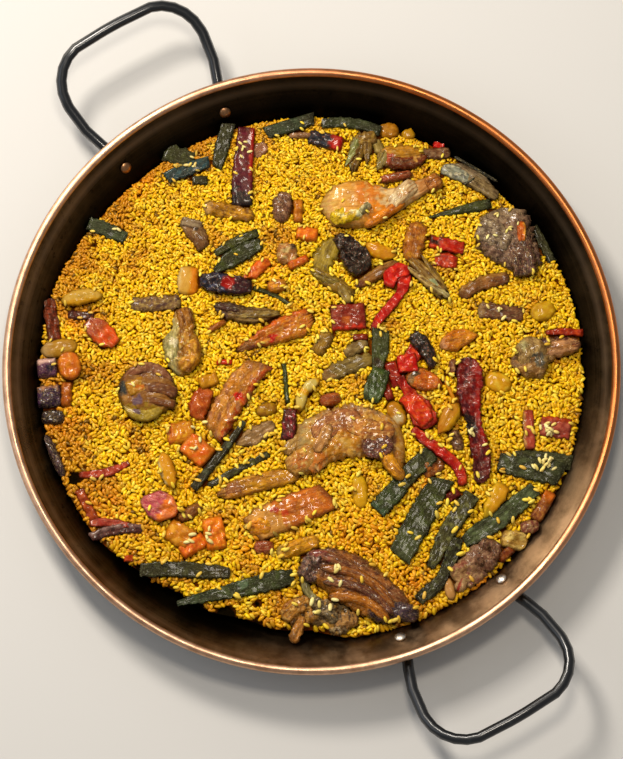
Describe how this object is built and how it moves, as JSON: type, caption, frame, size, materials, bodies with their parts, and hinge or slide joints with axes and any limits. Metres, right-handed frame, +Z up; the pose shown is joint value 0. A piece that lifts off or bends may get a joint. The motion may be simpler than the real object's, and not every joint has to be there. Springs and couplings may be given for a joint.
{
  "type": "paella in its pan",
  "caption": "Wide shallow steel pan with two loop handles, filled with golden rice, flat beans, butter beans, peppers, artichoke and roasted meat.",
  "frame": {"origin": "centre of the pan's underside, on the surface that the pan stands on", "axes": "+Z up, out of the food; +X through the middles of the two handles"},
  "size_m": [0.7294, 0.5496, 0.0611],
  "materials": {
    "steel": "seasoned bronze-brown carbon steel, brighter on the rolled rim",
    "rod_steel": "black enamelled rod, glossy",
    "rivet_steel": "domed rivet, tarnished",
    "rice": "moist golden cooked rice",
    "flat_bean": "cooked dark green pods, wrinkled",
    "butter_bean": "cream to ochre bean skin, slightly glossy",
    "red_pepper": "oiled roasted red pepper",
    "charred_pepper": "blackened pepper skin",
    "orange_pepper": "oiled orange pepper and tomato",
    "artichoke": "stewed brown-olive leaves",
    "chicken": "golden browned chicken",
    "rabbit": "dark roasted rabbit"
  },
  "bodies": {
    "root": {"artichoke_01": "artichoke", "artichoke_02": "artichoke", "artichoke_03": "artichoke", "artichoke_04": "artichoke", "artichoke_05": "artichoke", "artichoke_06": "artichoke", "artichoke_07": "artichoke", "artichoke_08": "artichoke", "artichoke_heart": "artichoke", "butter_bean_01": "butter_bean", "butter_bean_02": "butter_bean", "butter_bean_03": "butter_bean", "butter_bean_04": "butter_bean", "butter_bean_05": "butter_bean", "chicken_01": "chicken", "chicken_02": "chicken", "chicken_03": "chicken", "chicken_04": "chicken", "chicken_05": "chicken", "chicken_06": "chicken", "chicken_07": "chicken", "drumstick": "chicken", "flat_bean_01": "flat_bean", "flat_bean_02": "flat_bean", "flat_bean_03": "flat_bean", "flat_bean_04": "flat_bean", "flat_bean_05": "flat_bean", "flat_bean_06": "flat_bean", "flat_bean_07": "flat_bean", "flat_bean_08": "flat_bean", "flat_bean_09": "flat_bean", "flat_bean_10": "flat_bean", "flat_bean_11": "flat_bean", "flat_bean_12": "flat_bean", "flat_bean_13": "flat_bean", "flat_bean_14": "flat_bean", "flat_bean_15": "flat_bean", "handle_left": "rod_steel", "handle_right": "rod_steel", "pan": "steel", "pepper_piece_01": "charred_pepper", "pepper_piece_02": "red_pepper", "pepper_piece_03": "orange_pepper", "pepper_piece_04": "red_pepper", "pepper_piece_05": "orange_pepper", "pepper_piece_06": "charred_pepper", "pepper_piece_07": "charred_pepper", "pepper_piece_08": "orange_pepper", "pepper_strip_01": "red_pepper", "pepper_strip_02": "red_pepper", "pepper_strip_03": "red_pepper", "pepper_strip_04": "red_pepper", "rabbit_01": "rabbit", "rabbit_02": "rabbit", "rabbit_03": "rabbit", "rice": "rice", "rivet_left_a": "rivet_steel", "rivet_left_b": "rivet_steel", "rivet_right_a": "rivet_steel", "rivet_right_b": "rivet_steel"}
  },
  "joints": []
}
